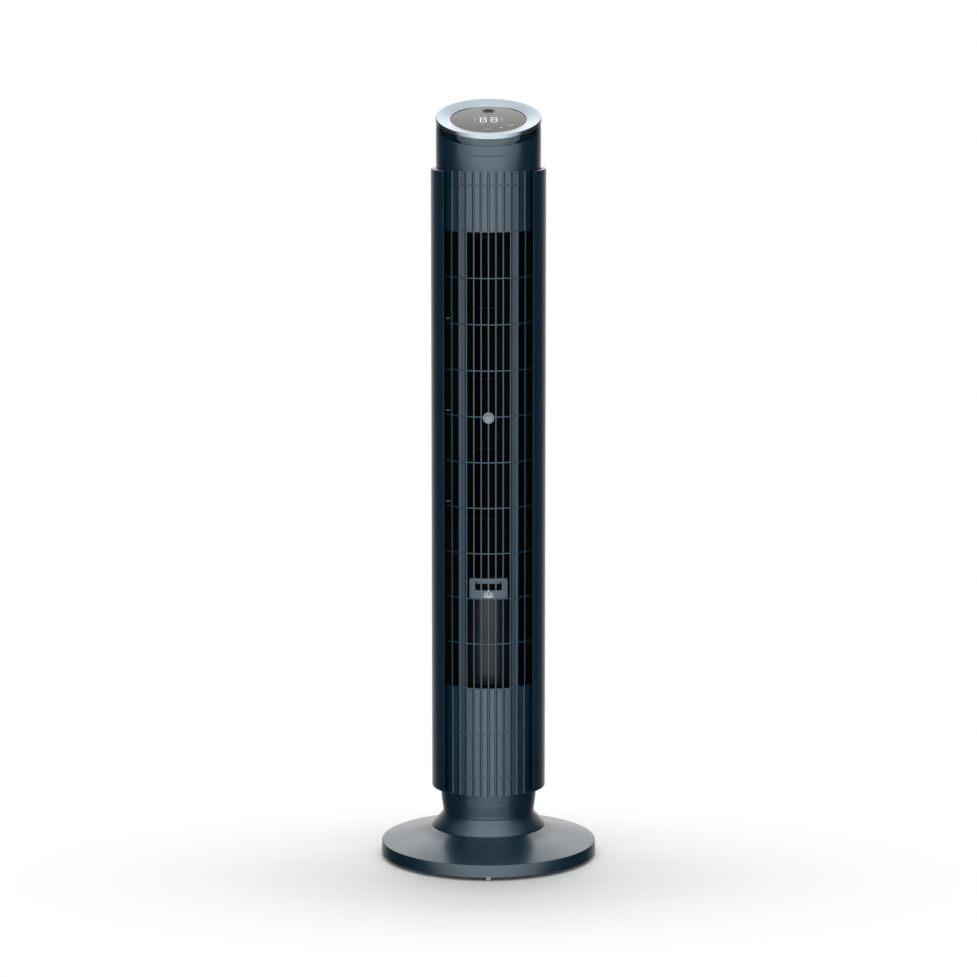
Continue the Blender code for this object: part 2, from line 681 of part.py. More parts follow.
def make_drawer():
    """The small drawer for a scented pad, which pulls out of the front grille."""
    plate_r = (GRILLE_R + RIB_HEIGHT + GAP, GRILLE_R + RIB_HEIGHT + 0.0015)
    reach = math.asin(DRAWER_HALF / plate_r[1])
    outline = arc(-reach, reach, plate_r[1], 8) + arc(reach, -reach, plate_r[0], 8)
    plate = slab("aroma_tray", outline, *DRAWER_Z, PETROL)
    tray = box("tray_body", (-TRAY_HALF, TRAY_Y[0], TRAY_Z[0]), (TRAY_HALF, TRAY_Y[1], TRAY_Z[1]), None)
    tray = join(plate, tray)
    pocket = [(-TRAY_HALF + TRAY_WALL, -0.0650, TRAY_Z[0] + TRAY_WALL),
              (TRAY_HALF - TRAY_WALL, TRAY_Y[1] - TRAY_WALL, TRAY_Z[1] + 0.01)]
    cutters = [box("tray_pocket", *pocket, None)]
    rib_half = RIB_WIDTH / 2
    edges = [-WINDOW_HALF, -RIB_PITCH - rib_half, -RIB_PITCH + rib_half, -rib_half,
             rib_half, RIB_PITCH - rib_half, RIB_PITCH + rib_half, WINDOW_HALF]
    for left, right in zip(edges[::2], edges[1::2]):
        cutters.append(box("tray_window", (left, -0.080, WINDOW_Z[0]),
                           (right, -0.060, WINDOW_Z[1]), None))
    cut(tray, *cutters)
    pad_inset = TRAY_WALL + 0.0005
    box("aroma_pad", (-TRAY_HALF + pad_inset, -0.0645, TRAY_Z[0] + pad_inset),
        (TRAY_HALF - pad_inset, TRAY_Y[1] - pad_inset, 0.3900), FELT, 0.001)


make_base()
make_turning_joint()
make_casing()
make_air_path()
make_motor()
make_impeller()
make_head()
make_electronics()
make_drawer()
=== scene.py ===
import math

import bmesh
import bpy
from mathutils import Matrix, Vector


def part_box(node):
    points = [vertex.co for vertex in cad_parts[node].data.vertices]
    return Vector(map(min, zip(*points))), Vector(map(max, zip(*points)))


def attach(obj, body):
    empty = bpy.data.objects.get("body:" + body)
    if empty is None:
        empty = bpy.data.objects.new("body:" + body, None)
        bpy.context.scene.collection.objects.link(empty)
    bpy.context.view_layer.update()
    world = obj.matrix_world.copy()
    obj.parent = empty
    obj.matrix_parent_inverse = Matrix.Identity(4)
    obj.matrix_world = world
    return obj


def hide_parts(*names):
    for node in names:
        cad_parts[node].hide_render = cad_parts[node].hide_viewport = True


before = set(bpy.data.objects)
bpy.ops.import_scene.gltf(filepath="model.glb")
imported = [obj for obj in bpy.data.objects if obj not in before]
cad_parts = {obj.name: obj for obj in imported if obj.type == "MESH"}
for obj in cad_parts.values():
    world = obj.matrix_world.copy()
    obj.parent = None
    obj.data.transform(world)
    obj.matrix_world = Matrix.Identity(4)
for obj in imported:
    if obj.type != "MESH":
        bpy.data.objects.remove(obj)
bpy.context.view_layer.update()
scene = bpy.context.scene

# ---------------------------------------- camera
# A long lens a little above the fan, tipped down so that the whole fan and the
# pool of light round its base are in view.
camera = bpy.data.objects.new("camera", bpy.data.cameras.new("camera"))
camera.data.sensor_width = 36.0
camera.data.lens = 133.6
camera.location = (0.0, -4.822, 1.2875)
camera.rotation_euler.x = math.radians(90 - 9.21)
scene.collection.objects.link(camera)
scene.camera = camera
scene.view_settings.view_transform = "Standard"


# ---------------------------------------- studio
# A white studio: one wide soft light in front, narrower towards the floor, dark
# sides that draw the edges of the tower, a lit wall behind and a lit ceiling.
# What the lens sees past the floor is plain white.
def linear(colour):
    """An sRGB hex colour as the linear red, green, blue and alpha that shaders take."""
    parts = [int(colour[start:start + 2], 16) / 255 for start in (0, 2, 4)]
    return (*[part / 12.92 if part <= 0.04045 else ((part + 0.055) / 1.055) ** 2.4
              for part in parts], 1.0)


def add_node(tree, kind, inputs=None, **settings):
    """Add a node, set its properties, and give its inputs values or other nodes' outputs."""
    made = tree.nodes.new(kind)
    for name, value in settings.items():
        setattr(made, name, value)
    for name, value in (inputs or {}).items():
        if isinstance(value, bpy.types.NodeSocket):
            tree.links.new(value, made.inputs[name])
        else:
            made.inputs[name].default_value = value
    return made


def new_finish(name, colour, roughness, **sockets):
    """A material with one Principled shader, its sockets set by their names."""
    made = bpy.data.materials.new(name)
    made.use_nodes = True
    surface = made.node_tree.nodes["Principled BSDF"]
    surface.inputs["Base Color"].default_value = linear(colour)
    surface.inputs["Roughness"].default_value = roughness
    for socket, value in sockets.items():
        surface.inputs[socket.replace("_", " ")].default_value = value
    return made, surface


def to_object(name, bm, sharp=35):
    """Turn a bmesh into an object, smooth except where faces meet at a real edge."""
    mesh = bpy.data.meshes.new(name)
    bmesh.ops.recalc_face_normals(bm, faces=bm.faces)
    bm.to_mesh(mesh)
    bm.free()
    mesh.shade_smooth()
    mesh.set_sharp_from_angle(angle=math.radians(sharp))
    obj = bpy.data.objects.new(name, mesh)
    scene.collection.objects.link(obj)
    return obj


studio = bpy.data.worlds.new("studio")
studio.use_nodes = True
scene.world = studio
sky = studio.node_tree
looking = add_node(sky, "ShaderNodeTexCoord").outputs["Generated"]
axes = add_node(sky, "ShaderNodeSeparateXYZ", {"Vector": looking}).outputs
forward = add_node(sky, "ShaderNodeMath", {0: axes["Y"], 1: -1.0}, operation="MULTIPLY")
bearing = add_node(sky, "ShaderNodeMath", {0: axes["X"], 1: forward.outputs[0]},
                   operation="ARCTAN2")
bearing = add_node(sky, "ShaderNodeMath", {0: bearing.outputs[0]}, operation="ABSOLUTE")
height = add_node(sky, "ShaderNodeMath", {0: axes["Z"]}, operation="ARCSINE")
climb = add_node(sky, "ShaderNodeMapRange", {
    "Value": height.outputs[0], "From Min": -math.pi / 2, "From Max": math.pi / 2})
FULL_LIGHT = 2.0


def wall_of_light(stops):
    """Brightness up a studio wall, from (angle above the horizon, brightness) stops."""
    ramp = add_node(sky, "ShaderNodeValToRGB", {"Fac": climb.outputs["Result"]})
    elements = ramp.color_ramp.elements
    while len(elements) < len(stops):
        elements.new(0.5)
    for element, (angle, light) in zip(elements, stops):
        element.position = (angle + 90) / 180
        element.color = (*[light / FULL_LIGHT] * 3, 1.0)
    return ramp.outputs["Color"]


def between(measure, start, end, most=1.0):
    """A mask that rises to a share as a bearing from the front goes between two angles."""
    return add_node(sky, "ShaderNodeMapRange", {
        "Value": measure, "From Min": math.radians(start), "From Max": math.radians(end),
        "To Max": most}, interpolation_type="SMOOTHSTEP").outputs["Result"]


def blended(mask, first, second):
    """Two walls of light mixed by a mask."""
    return add_node(sky, "ShaderNodeMix", {"Factor": mask, 6: first, 7: second},
                    data_type="RGBA").outputs[2]


front_wall = wall_of_light([(-90, 0.9), (-32, 0.9), (-20, 1.3), (-9, 1.9), (8, 1.9), (16, 1.2),
                            (40, 1.3), (55, 2.0), (90, 2.0)])
side_wall = wall_of_light([(-90, 0.4), (-60, 0.06), (-30, 0.02), (40, 0.02), (60, 0.7), (90, 1.8)])
back_wall = wall_of_light([(-90, 0.5), (-20, 0.5), (0, 0.8), (18, 1.0), (26, 1.8), (36, 1.6),
                           (46, 1.2), (66, 1.6), (90, 2.0)])
narrowing = add_node(sky, "ShaderNodeMapRange", {
    "Value": height.outputs[0], "From Min": math.radians(-12), "From Max": math.radians(-3.5),
    "To Min": math.radians(18), "To Max": 0.0})
inward = add_node(sky, "ShaderNodeMath", {0: bearing.outputs[0], 1: narrowing.outputs["Result"]},
                  operation="ADD").outputs[0]
light = blended(between(inward, 26, 66, 0.5), front_wall, side_wall)
light = blended(between(inward, 69, 75), light, side_wall)
light = blended(between(bearing.outputs[0], 126, 182), light, back_wall)
ray = add_node(sky, "ShaderNodeLightPath").outputs
straight = add_node(sky, "ShaderNodeMath", {0: ray["Is Camera Ray"], 1: ray["Is Transmission Ray"]},
                    operation="MAXIMUM")
lit = add_node(sky, "ShaderNodeBackground", {"Color": light, "Strength": FULL_LIGHT})
plain = add_node(sky, "ShaderNodeBackground", {"Color": linear("FFFFFF"), "Strength": 1.0})
seen = add_node(sky, "ShaderNodeMixShader", {0: straight.outputs[0], 1: lit.outputs[0],
                                             2: plain.outputs[0]})
sky.links.new(seen.outputs[0], sky.nodes["World Output"].inputs["Surface"])

# The floor: a round white sheet with a painted shadow: its colour greys in a wide pool
# in front of the base. It runs into the white of the wall before its edge, and doesn't show in the
# lacquer.
floor_r = 1.4
bm = bmesh.new()
bmesh.ops.create_circle(bm, cap_ends=True, radius=floor_r, segments=128)
floor = to_object("floor", bm)
floor.visible_glossy = False
paper, shader = new_finish("white_paper_painted_shadow", "FFFFFF", 0.9, Specular_IOR_Level=0.2)
tree = paper.node_tree
place = add_node(tree, "ShaderNodeTexCoord").outputs["Object"]
# Painted shadow: the grey pool is centred a little in front of the base and stretched sideways.
painted_shadow_place = add_node(tree, "ShaderNodeMapping", {"Vector": place, "Location": (0.0, 0.12, 0.0),
                                            "Scale": (0.55, 1.0, 1.0)})
reach = add_node(tree, "ShaderNodeVectorMath", {0: painted_shadow_place.outputs["Vector"]}, operation="LENGTH")
away = add_node(tree, "ShaderNodeMapRange", {"Value": reach.outputs["Value"],
                                             "From Min": 0.0, "From Max": 1.0})
# Painted shadow: the floor's colour darkens from white to grey nearer the base.
painted_shadow_ramp = add_node(tree, "ShaderNodeValToRGB", {"Fac": away.outputs["Result"]})
for number, (radius, grey) in enumerate([(0.02, 0.66), (0.10, 0.85), (0.19, 0.94), (0.30, 0.97)]):
    if number < 2:
        element = painted_shadow_ramp.color_ramp.elements[number]
    else:
        element = painted_shadow_ramp.color_ramp.elements.new(radius)
    element.position = radius
    element.color = (grey, grey, grey, 1.0)
tree.links.new(painted_shadow_ramp.outputs["Color"], shader.inputs["Base Color"])
white = add_node(tree, "ShaderNodeEmission", {"Color": linear("FFFFFF"), "Strength": 1.0})
fading = add_node(tree, "ShaderNodeMapRange", {"Value": reach.outputs["Value"], "From Min": 0.10,
                                               "From Max": 0.40}, interpolation_type="SMOOTHSTEP")
meeting = add_node(tree, "ShaderNodeMixShader", {0: fading.outputs["Result"],
                                                 1: shader.outputs["BSDF"], 2: white.outputs[0]})
tree.links.new(meeting.outputs[0], tree.nodes["Material Output"].inputs["Surface"])
floor.data.materials.append(paper)


# ---------------------------------------- base cover
# The round cover of the base: petrol-blue ABS, injection moulded with polished
# walls and a clear lacquer. It sits on the weighted plate and has a notch for
# the mains lead at the back.
def drift(surface, size, low=0.0, high=1.0, detail=3.0):
    """A number that wanders between two values over patches of a given size."""
    tree = surface.id_data
    where = add_node(tree, "ShaderNodeTexCoord").outputs["Object"]
    cloud = add_node(tree, "ShaderNodeTexNoise", {"Vector": where, "Scale": 1 / size,
                                                  "Detail": detail})
    return add_node(tree, "ShaderNodeMapRange", {
        "Value": cloud.outputs["Fac"], "From Min": 0.3, "From Max": 0.7,
        "To Min": low, "To Max": high}).outputs["Result"]


def uneven(surface, size, low, high):
    """Let a surface's roughness wander between two values."""
    surface.id_data.links.new(drift(surface, size, low, high), surface.inputs["Roughness"])


def relief(surface, pattern, depth):
    """Raise a surface by a pattern of 0 to 1, as deep as given in metres."""
    tree = surface.id_data
    bump = add_node(tree, "ShaderNodeBump", {"Height": pattern, "Distance": depth,
                                             "Strength": 1.0})
    tree.links.new(bump.outputs["Normal"], surface.inputs["Normal"])


def grain(surface, size, depth, detail=3.0):
    """Raise a surface by a cloudy grain of a given size."""
    relief(surface, drift(surface, size, detail=detail), depth)


def tint(surface, first, second, size, detail=3.0):
    """Mix two colours over a surface in patches of a given size."""
    amount = drift(surface, size, detail=detail)
    mixed = add_node(surface.id_data, "ShaderNodeMix", {
        "Factor": amount, 6: linear(first), 7: linear(second)}, data_type="RGBA")
    surface.id_data.links.new(mixed.outputs[2], surface.inputs["Base Color"])


# Lacquered ABS: a deep petrol colour with fine blue flake, which tints its highlights,
# under a clear coat that softens their edges. Its orange peel is about 1.5 mm wide.
petrol_abs, surface = new_finish("lacquered_petrol_abs", "022132", 0.34, IOR=1.53,
                                 Specular_IOR_Level=0.68, Coat_Weight=1.0,
                                 Specular_Tint=(0.60, 0.86, 1.0, 1.0),
                                 Coat_Roughness=0.20, Coat_IOR=1.5)
tint(surface, "011F2F", "032436", 0.09)
uneven(surface, 0.035, 0.31, 0.38)
grain(surface, 0.0015, 0.0000015, 1.0)


def rounded_path(corners, closed=True, steps=5):
    """Points along (across, up, corner radius) corners, with each corner turned smoothly."""
    path = []
    count = len(corners)
    for number, (across, up, radius) in enumerate(corners):
        corner = Vector((across, up))
        if radius <= 0 or not (closed or 0 < number < count - 1):
            path.append(corner)
            continue
        before = Vector(corners[number - 1][:2]) - corner
        after = Vector(corners[(number + 1) % count][:2]) - corner
        turning = math.pi - before.angle(after)
        run = min(radius * math.tan(turning / 2), before.length * 0.49, after.length * 0.49)
        start = corner + before.normalized() * run
        end = corner + after.normalized() * run
        for step in range(steps + 1):
            along = step / steps
            path.append(start * (1 - along) ** 2 + corner * 2 * along * (1 - along)
                        + end * along ** 2)
    return path


def lathe(name, corners, steps=128, centre=(0.0, 0.0), closed=True, arc_steps=5):
    """Turn a profile of (radius, height, corner radius) about an upright axis."""
    path = rounded_path(corners, closed, arc_steps)
    bm = bmesh.new()
    rings = []
    for point in path:
        if point.x < 1e-7:
            rings.append([bm.verts.new((centre[0], centre[1], point.y))] * steps)
            continue
        turns = [2 * math.pi * step / steps for step in range(steps)]
        rings.append([bm.verts.new((centre[0] + point.x * math.cos(turn),
                                    centre[1] + point.x * math.sin(turn), point.y))
                      for turn in turns])
    pairs = list(zip(rings, rings[1:]))
    if closed:
        pairs.append((rings[-1], rings[0]))
    for upper, lower in pairs:
        for step in range(steps):
            after = (step + 1) % steps
            corners_here = [upper[step], upper[after], lower[after], lower[step]]
            unique = list(dict.fromkeys(corners_here))
            if len(unique) > 2:
                bm.faces.new(unique)
    return to_object(name, bm)


def block(name, low, high, edge=0.0):
    """A box from its lowest to its highest corner, with rounded edges."""
    low, high = Vector(low), Vector(high)
    bm = bmesh.new()
    bmesh.ops.create_cube(bm, size=1.0)
    bmesh.ops.scale(bm, vec=high - low, verts=bm.verts)
    bmesh.ops.translate(bm, vec=(low + high) / 2, verts=bm.verts)
    if edge:
        bmesh.ops.bevel(bm, geom=bm.edges[:], offset=edge, segments=3, profile=0.5,
                        affect="EDGES")
    return to_object(name, bm)


def as_mesh(obj):
    """The mesh that an object has once its modifiers or curve settings are applied."""
    bpy.context.view_layer.update()
    graph = bpy.context.evaluated_depsgraph_get()
    return bpy.data.meshes.new_from_object(obj.evaluated_get(graph))


def cut_out(piece, *cutters):
    """Take each cutter's shape out of a piece, and remove the cutters."""
    for cutter in cutters:
        hole = piece.modifiers.new("Hole", "BOOLEAN")
        hole.operation = "DIFFERENCE"
        hole.object = cutter
    mesh = as_mesh(piece)
    piece.modifiers.clear()
    piece.data = mesh
    for cutter in cutters:
        bpy.data.objects.remove(cutter, do_unlink=True)
    mesh.shade_smooth()
    mesh.set_sharp_from_angle(angle=math.radians(35))
    return piece


def fit(piece, body, slot, finish, *stands_for):
    """Give a piece its finish, tie it to its body, and let it stand for CAD nodes."""
    piece.data.materials.clear()
    piece.data.materials.append(finish)
    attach(piece, body)
    if stands_for:
        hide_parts(*stands_for)
    return piece


def lacquered(piece, body, *stands_for):
    """Fit a piece in the petrol lacquer."""
    return fit(piece, body, "petrol_plastic", petrol_abs, *stands_for)


def dress(finish, *names):
    """Give CAD nodes that keep their own shape a finish."""
    for name in names:
        for material_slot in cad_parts[name].material_slots:
            material_slot.material = finish


cover_low, cover_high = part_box("base_disc")
base_r = cover_high.x
rim_low = cover_low.z
cover_top = cover_high.z
cover_wall = 0.0027
rim_top = 0.0212
seat_r = 0.060
well_r = 0.0773
sweep_r = 0.0905
sweep_z = 0.0362
cover = lathe("base_cover", [
    (seat_r, cover_top, 0.0), (well_r, cover_top, 0.0008), (sweep_r, sweep_z, 0.2),
    (base_r - 0.0009, rim_top, 0.0014), (base_r, rim_low, 0.0005),
    (base_r - cover_wall, rim_low, 0.0003), (base_r - cover_wall, rim_top - 0.0020, 0.0),
    (sweep_r, sweep_z - cover_wall, 0.0), (well_r, cover_top - cover_wall, 0.0),
    (seat_r, cover_top - cover_wall, 0.0)], 160, arc_steps=10)
gland_low, gland_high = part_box("cable_gland")
notch_gap = 0.0003
cut_out(cover, block("notch", (gland_low.x - notch_gap, gland_low.y - 0.004, -0.01),
                     (gland_high.x + notch_gap, base_r + 0.01, gland_high.z + notch_gap), 0.0008))
lacquered(cover, "base", "base_disc")

# A small tab shows under the front of the rim. Its pale grey is a painted highlight: the tab belongs to
# the petrol rim and is coloured as light as the rim's lit front.
tab_half = 0.0034
tab = block("rim_tab", (-tab_half, -base_r - 0.0002, 0.0006),
            (tab_half, -base_r + 0.0060, rim_low + 0.0012), 0.0005)
tab_painted_highlight, surface = new_finish("grey_abs_painted_highlight", "7E8A90", 0.42, IOR=1.53)
grain(surface, 0.0004, 0.00001)
fit(tab, "base", "petrol_plastic", tab_painted_highlight)


# ---------------------------------------- cable gland
# The black nylon bush that the mains lead comes through, with a flared mouth so
# that the lead never bends over a sharp edge. It is clamped in the rim's notch.
def moulded_black(name, colour, roughness, size, depth, gloss=0.5):
    """Black plastic from a spark-textured mould: a fine, even grain that scatters light."""
    made, surface = new_finish(name, colour, roughness, IOR=1.5, Specular_IOR_Level=gloss)
    uneven(surface, 0.02, roughness - 0.05, roughness + 0.05)
    grain(surface, size, depth, 2.0)
    return made


black_nylon = moulded_black("black_nylon", "17191B", 0.48, 0.0006, 0.00002)
lead_r = 0.0033
gland_middle = (gland_low + gland_high) / 2
gland = block("cable_inlet_bush", gland_low, gland_high, 0.0007)
bore = lathe("bore", [(0.0, 0.02, 0.0), (lead_r, 0.02, 0.0), (lead_r, 0.0028, 0.002),
                      (0.0048, 0.0, 0.0), (0.0048, -0.005, 0.0), (0.0, -0.005, 0.0)], 40,
             closed=False)
bore.data.transform(Matrix.Translation((0.0, gland_high.y, gland_middle.z))
                    @ Matrix.Rotation(math.radians(90), 4, "X"))
cut_out(gland, bore)
fit(gland, "base", "black_plastic", black_nylon, "cable_gland")

# ---------------------------------------- feet and bottom plate
# Five soft rubber feet with a turned groove, pressed into the moulded bottom
# plate, which also carries the ballast ring.
rubber = moulded_black("moulded_rubber", "1B1B1C", 0.80, 0.0008, 0.00004)
for number in range(5):
    name = f"foot_{number + 1}"
    low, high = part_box(name)
    middle = (low + high) / 2
    foot_r = (high.x - low.x) / 2
    foot = lathe(f"rubber_{name}", [
        (0.0, high.z, 0.0), (foot_r, high.z, 0.0003), (foot_r, low.z, 0.0010),
        (foot_r * 0.62, low.z, 0.0003), (foot_r * 0.58, low.z + 0.0006, 0.0003),
        (foot_r * 0.44, low.z + 0.0006, 0.0003), (foot_r * 0.40, low.z, 0.0003),
        (0.0, low.z, 0.0)], 48, (middle.x, middle.y), closed=False)
    fit(foot, "base", "rubber", rubber, name)
black_abs = moulded_black("textured_black_abs", "16181A", 0.50, 0.0007, 0.000025)
dress(black_abs, "base_plate")

# ---------------------------------------- collar
# The flared collar that hides the turning joint: the same lacquered ABS, clipped
# into the cover, with a small rounded lip where it meets it.
collar_low, collar_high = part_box("base_collar")
collar_r = collar_high.x
collar_wall = 0.0024
throat_r = 0.0614
collar = lathe("flared_collar", [
    (throat_r, collar_high.z, 0.0003), (0.0643, 0.0566, 0.006), (0.0710, 0.0494, 0.012),
    (collar_r, 0.0430, 0.0012), (collar_r, collar_low.z, 0.0),
    (collar_r - collar_wall, collar_low.z, 0.0), (collar_r - collar_wall, 0.0430, 0.0),
    (0.0700 - collar_wall, 0.0500, 0.0), (throat_r - collar_wall, collar_high.z, 0.0003)], 144)
lacquered(collar, "base", "base_collar")

# ---------------------------------------- turning joint
# A steel post is fixed in the base, with a toothed ring round it. The tower's
# turntable runs on an oil-soaked bronze ring, under a washer and nut.
plated_steel, surface = new_finish("zinc_plated_steel", "B9BCBE", 0.34, Metallic=1.0)
tint(surface, "AEB2B6", "C6C7C4", 0.004, 5.0)
grain(surface, 0.0007, 0.000008)
cast_steel, surface = new_finish("sawn_ballast_steel", "5E5C59", 0.62, Metallic=1.0)
tint(surface, "504E4C", "6C6A66", 0.006, 6.0)
grain(surface, 0.0012, 0.00006, 5.0)
bronze, surface = new_finish("sintered_bronze", "A98653", 0.48, Metallic=1.0)
grain(surface, 0.0004, 0.00003, 4.0)
acetal, surface = new_finish("natural_acetal", "E4E2DA", 0.38, IOR=1.48,
                             Subsurface_Weight=0.15, Subsurface_Scale=0.002)
grain(surface, 0.0006, 0.00001)
dress(plated_steel, "pivot_post", "retaining_washer", "retaining_nut", "swing_motor")
dress(cast_steel, "ballast_ring")
dress(bronze, "thrust_ring")
dress(acetal, "sun_gear", "pinion")
dress(black_abs, "turntable")

# ---------------------------------------- neck
# The short skirt under the tower, slightly narrower towards the floor. It is a
# lacquered ABS moulding that plugs into the grilles and turns with them.
neck_low, neck_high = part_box("neck")
grille_low, grille_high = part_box("front_grille")
neck_r = 0.0652
neck = lathe("neck_skirt", [
    (neck_r, neck_high.z, 0.0004), (neck_r + 0.0002, 0.0990, 0.0),
    (neck_r + 0.0002, grille_low.z - 0.0001, 0.0), (neck_r, grille_low.z - 0.0002, 0.0003),
    (0.0640, 0.0806, 0.012), (0.0619, 0.0660, 0.008), (0.0616, neck_low.z - 0.0002, 0.0003),
    (0.0591, neck_low.z, 0.0004), (0.0617, 0.0806, 0.0), (0.0630, 0.0985, 0.0),
    (0.0630, neck_high.z, 0.0)], 144)
lacquered(neck, "tower", "neck")


# ---------------------------------------- grilles
# The front and rear grilles, each half a tube in lacquered ABS. Upright ribs and
# rounded rings stand proud of a thin wall, which is open between them but for one
# column on each side. The sides of the ribs run front to back, as the mould opens.
wall_r = 0.0698
back_r = 0.0668
rib_pitch = 0.0098
rib_half = 0.0010
rib_high = 0.0015
rib_shoulder = 0.0007
ribs_each_side = 5
ring_half = 0.0009
ring_high = 0.0012
ring_pitch = 0.06135
slots_low = 0.2445
slot_rows = 10
slots_high = slots_low + slot_rows * ring_pitch
rib_tip = grille_high.z - 0.0023
foot_step = 0.00006
fillet = 0.0011
fillet_high = 0.0007
tray_low, tray_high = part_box("aroma_tray")
mouth = (0.3696, 0.3934)


def bead(distance, half, high, edge):
    """The height of a bead at a distance from its middle line, with rounded shoulders."""
    inside = half - distance
    if inside < -1e-7:
        return 0.0
    if inside >= edge:
        return high
    return high - edge + math.sqrt(max(0.0, edge ** 2 - (edge - inside) ** 2))


def both_sides(middle, offsets):
    """Lines at a middle and at each offset on both sides of it."""
    return [middle] + [middle + side * offset for offset in offsets for side in (-1, 1)]


def grille(name, rings, has_mouth):
    """Build half the tube facing the front, as a lattice with a front and a back skin."""
    zone = (ribs_each_side + 1) * rib_pitch
    seam = math.radians(89.4)
    rib_lines = [rib_half * share for share in (0.35, 0.6, 0.72, 0.84, 0.94, 1.0)]
    rib_lines += [rib_half + foot_step + fillet * share for share in (0.0, 0.15, 0.4, 0.7, 1.0)]
    columns = []
    for rib in range(-ribs_each_side, ribs_each_side + 1):
        columns += both_sides(rib * rib_pitch, rib_lines)
        if rib < ribs_each_side:
            columns += both_sides((rib + 0.5) * rib_pitch, [0.0014])
    outer = ribs_each_side * rib_pitch
    columns += [side * across for side in (-1, 1) for across in (outer + 0.003, outer + 0.0065, zone)]
    columns.sort()
    zone_front, zone_back = math.asin(zone / wall_r), math.asin(zone / back_r)
    angles = [(math.asin(across / wall_r), math.asin(across / back_r)) for across in columns]
    flank_steps = 8
    for step in range(1, flank_steps + 1):
        share = step / flank_steps
        pair = (zone_front + (seam - zone_front) * share, zone_back + (seam - zone_back) * share)
        angles = [(-pair[0], -pair[1]), *angles, pair]

    ring_lines = [ring_half * share for share in (0.3, 0.55, 0.75, 0.9, 1.0)]
    ring_lines.append(ring_half + foot_step)
    rows = [grille_low.z, grille_high.z - 0.0001]
    for ring in rings:
        rows += both_sides(ring, ring_lines)
    rows += both_sides(rib_tip, rib_lines)
    if has_mouth:
        rows += mouth
    rows.sort()

    def from_rib(across):
        """The distance to the middle line of the nearest rib."""
        rib = max(-ribs_each_side, min(ribs_each_side, round(across / rib_pitch)))
        return abs(across - rib * rib_pitch)

    def height(across, up):
        """How far the skin stands proud of the plain wall."""
        away_from_rib = math.hypot(from_rib(across), max(0.0, up - rib_tip))
        proud = bead(away_from_rib, rib_half, rib_high, rib_shoulder)
        beyond = away_from_rib - rib_half - foot_step
        if -1e-7 < beyond < fillet:
            proud = fillet - math.sqrt(fillet ** 2 - (fillet - max(beyond, 0.0)) ** 2)
            proud = min(proud, fillet_high)
        if abs(across) < zone:
            nearest = min(rings, key=lambda ring: abs(ring - up))
            proud = max(proud, bead(abs(up - nearest), ring_half, ring_high, ring_half))
        return proud

    def is_open(across, up):
        """Whether the wall has an opening here."""
        if has_mouth and mouth[0] < up < mouth[1] and abs(across) < 3 * rib_pitch - rib_half:
            return True
        if not slots_low < up < slots_high or abs(across) > zone:
            return False
        in_rib = from_rib(across) < rib_half + foot_step
        in_bar = 3 * rib_pitch < abs(across) < 4 * rib_pitch
        in_ring = min(abs(ring - up) for ring in rings) < ring_half + foot_step
        return not (in_rib or in_bar or in_ring)

    bm = bmesh.new()
    front, back = {}, {}
    for column, (angle, back_angle) in enumerate(angles):
        across = wall_r * math.sin(angle)
        in_zone = abs(across) < zone - 1e-6
        for row, up in enumerate(rows):
            proud = height(across, up) if in_zone else 0.0
            radius = wall_r + proud
            depth = math.sqrt(radius ** 2 - across ** 2)
            front[column, row] = bm.verts.new((across, -depth, up))
            back[column, row] = bm.verts.new((back_r * math.sin(back_angle),
                                              -back_r * math.cos(back_angle), up))
    skin = []
    for column, (here, after) in enumerate(zip(angles, angles[1:])):
        across = wall_r * math.sin((here[0] + after[0]) / 2)
        for row, (up, next_up) in enumerate(zip(rows, rows[1:])):
            if next_up - up < 1e-7 or is_open(across, (up + next_up) / 2):
                continue
            cell = [(column, row), (column + 1, row), (column + 1, row + 1), (column, row + 1)]
            skin.append(bm.faces.new([front[key] for key in cell]))
            bm.faces.new([back[key] for key in reversed(cell)])
    behind = {front[key]: back[key] for key in front}
    edges = {edge for face in skin for edge in face.edges if len(edge.link_faces) == 1}
    for edge in edges:
        first, second = edge.verts
        bm.faces.new([first, second, behind[second], behind[first]])
    bmesh.ops.delete(bm, geom=[vert for vert in bm.verts if not vert.link_faces], context="VERTS")
    return to_object(name, bm, 30)


blind_rings = [slots_low - 2 * ring_pitch, slots_low - ring_pitch, slots_high + ring_pitch]
front_rings = blind_rings + [slots_low + row * ring_pitch for row in range(slot_rows + 1)]
rear_rings = blind_rings + [slots_low + row * ring_pitch for row in range(0, slot_rows + 1, 2)]
front_grille = grille("front_grille_moulding", front_rings, True)
lacquered(front_grille, "tower", "front_grille")
rear_grille = grille("rear_grille_moulding", rear_rings, False)
rear_grille.data.transform(Matrix.Rotation(math.pi, 4, "Z"))
lacquered(rear_grille, "tower", "rear_grille")

# Three snap lugs that hold the front grille to the left shell show in its outer
# column as slim bars just above a ring.
lug_lift = 0.0049
lug_high = 0.0016
for number, row in enumerate((4, 6, 8)):
    lug_low = slots_low + row * ring_pitch + lug_lift
    lug = block(f"snap_lug_{number + 1}", (-0.0566, -0.0435, lug_low),
                (-0.0506, -0.0385, lug_low + lug_high), 0.0005)
    lacquered(lug, "tower")


